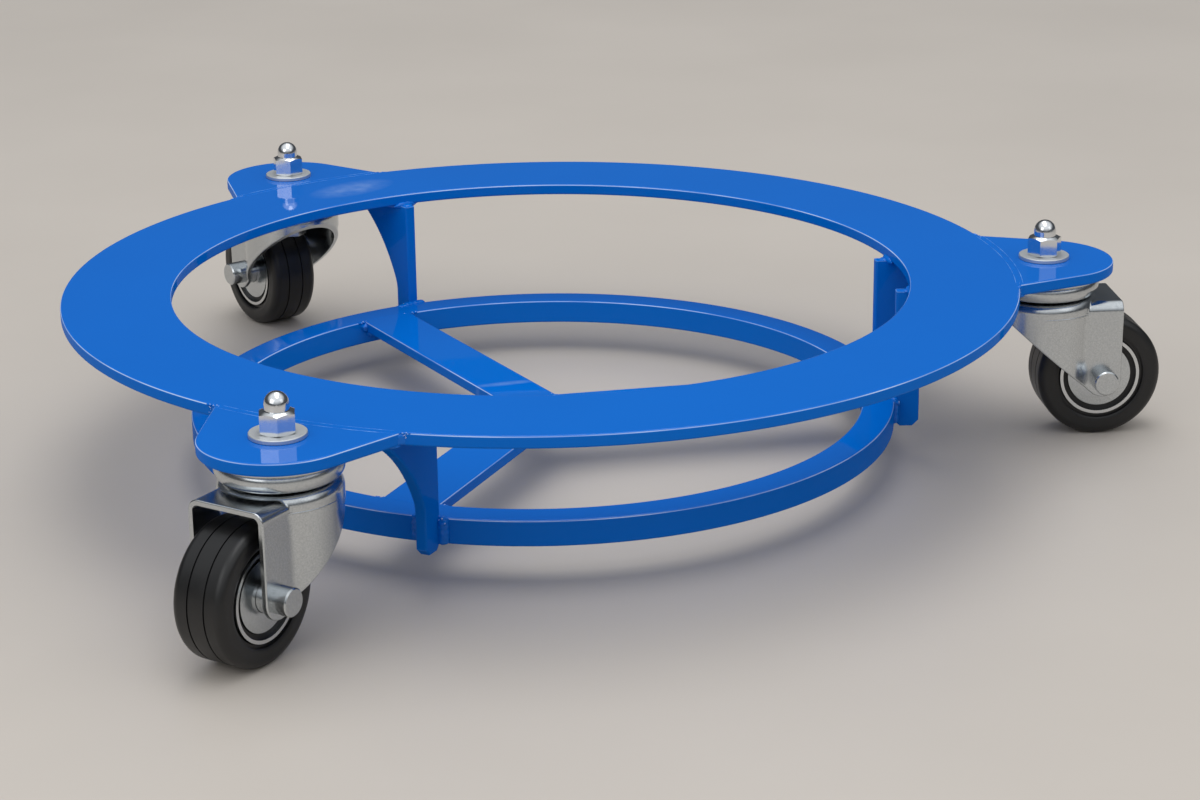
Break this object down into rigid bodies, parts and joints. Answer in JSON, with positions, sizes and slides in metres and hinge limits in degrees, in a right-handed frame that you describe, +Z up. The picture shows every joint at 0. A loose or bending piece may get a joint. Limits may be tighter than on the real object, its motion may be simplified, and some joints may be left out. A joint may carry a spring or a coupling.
{
  "type": "keg dolly",
  "caption": "Round welded keg dolly: a flat blue ring with caster tabs, carried on swivel casters, with struts down to a spoked lower ring that the keg stands on.",
  "frame": {"origin": "centre of the keg seat, level with the tops of the spokes and the lower ring", "axes": "+Z up, out of the keg seat; +X towards the caster that stands between the paired struts; +Y completes a right-handed frame; at rest the casters trail outward, the front one turned a little"},
  "size_m": [0.6999, 0.7026, 0.1412],
  "materials": {
    "frame_blue": "glossy blue powder coat",
    "zinc_plate": "bright zinc plate with a faint spangle",
    "bright_nut": "bright polished plate",
    "bright_ring": "bright turned steel",
    "bearing_steel": "ground bearing steel",
    "black_rubber": "semi-matt black rubber",
    "black_core": "matt black moulding"
  },
  "bodies": {
    "frame": {"upper_ring": "frame_blue", "lower_ring": "frame_blue", "strut_right_rear": "frame_blue", "strut_right_front": "frame_blue", "strut_rear": "frame_blue", "strut_front": "frame_blue", "caster_tab_right": "frame_blue", "caster_tab_rear": "frame_blue", "caster_tab_front": "frame_blue", "spoke_right": "frame_blue", "spoke_rear": "frame_blue", "spoke_front": "frame_blue", "race_cup_right": "zinc_plate", "race_cup_rear": "zinc_plate", "race_cup_front": "zinc_plate", "kingpin_right": "zinc_plate", "kingpin_rear": "zinc_plate", "kingpin_front": "zinc_plate", "lower_race_right": "zinc_plate", "lower_race_rear": "zinc_plate", "lower_race_front": "zinc_plate", "mounting_bolts": "zinc_plate", "washers": "zinc_plate", "cap_nuts": "bright_nut"},
    "swivel_right": {"fork_right": "zinc_plate", "upper_balls_right": "bearing_steel", "lower_balls_right": "bearing_steel", "axle_right": "zinc_plate", "axle_nut_right": "zinc_plate", "axle_sleeve_right": "bearing_steel"},
    "wheel_right": {"tyre_right": "black_rubber", "wheel_core_right": "black_core", "rim_rings_right": "bright_ring", "hub_discs_right": "zinc_plate", "rollers_right": "bearing_steel"},
    "swivel_rear": {"fork_rear": "zinc_plate", "upper_balls_rear": "bearing_steel", "lower_balls_rear": "bearing_steel", "axle_rear": "zinc_plate", "axle_nut_rear": "zinc_plate", "axle_sleeve_rear": "bearing_steel"},
    "wheel_rear": {"tyre_rear": "black_rubber", "wheel_core_rear": "black_core", "rim_rings_rear": "bright_ring", "hub_discs_rear": "zinc_plate", "rollers_rear": "bearing_steel"},
    "swivel_front": {"fork_front": "zinc_plate", "upper_balls_front": "bearing_steel", "lower_balls_front": "bearing_steel", "axle_front": "zinc_plate", "axle_nut_front": "zinc_plate", "axle_sleeve_front": "bearing_steel"},
    "wheel_front": {"tyre_front": "black_rubber", "wheel_core_front": "black_core", "rim_rings_front": "bright_ring", "hub_discs_front": "zinc_plate", "rollers_front": "bearing_steel"}
  },
  "joints": [
    {"name": "swivel_right", "type": "hinge", "parent": "frame", "child": "swivel_right", "pos_m": [0.324, 0, 0.0568], "axis": [0, 0, 1], "continuous": true},
    {"name": "roll_right", "type": "hinge", "parent": "swivel_right", "child": "wheel_right", "pos_m": [0.36, 0, 0.002], "axis": [0, 1, 0], "continuous": true},
    {"name": "swivel_rear", "type": "hinge", "parent": "frame", "child": "swivel_rear", "pos_m": [-0.162, 0.28059, 0.0568], "axis": [0, 0, 1], "continuous": true},
    {"name": "roll_rear", "type": "hinge", "parent": "swivel_rear", "child": "wheel_rear", "pos_m": [-0.18, 0.31177, 0.002], "axis": [-0.866, -0.5, 0], "continuous": true},
    {"name": "swivel_front", "type": "hinge", "parent": "frame", "child": "swivel_front", "pos_m": [-0.162, -0.28059, 0.0568], "axis": [0, 0, 1], "continuous": true},
    {"name": "roll_front", "type": "hinge", "parent": "swivel_front", "child": "wheel_front", "pos_m": [-0.18366, -0.30934, 0.002], "axis": [0.7986, -0.6018, 0], "continuous": true}
  ]
}
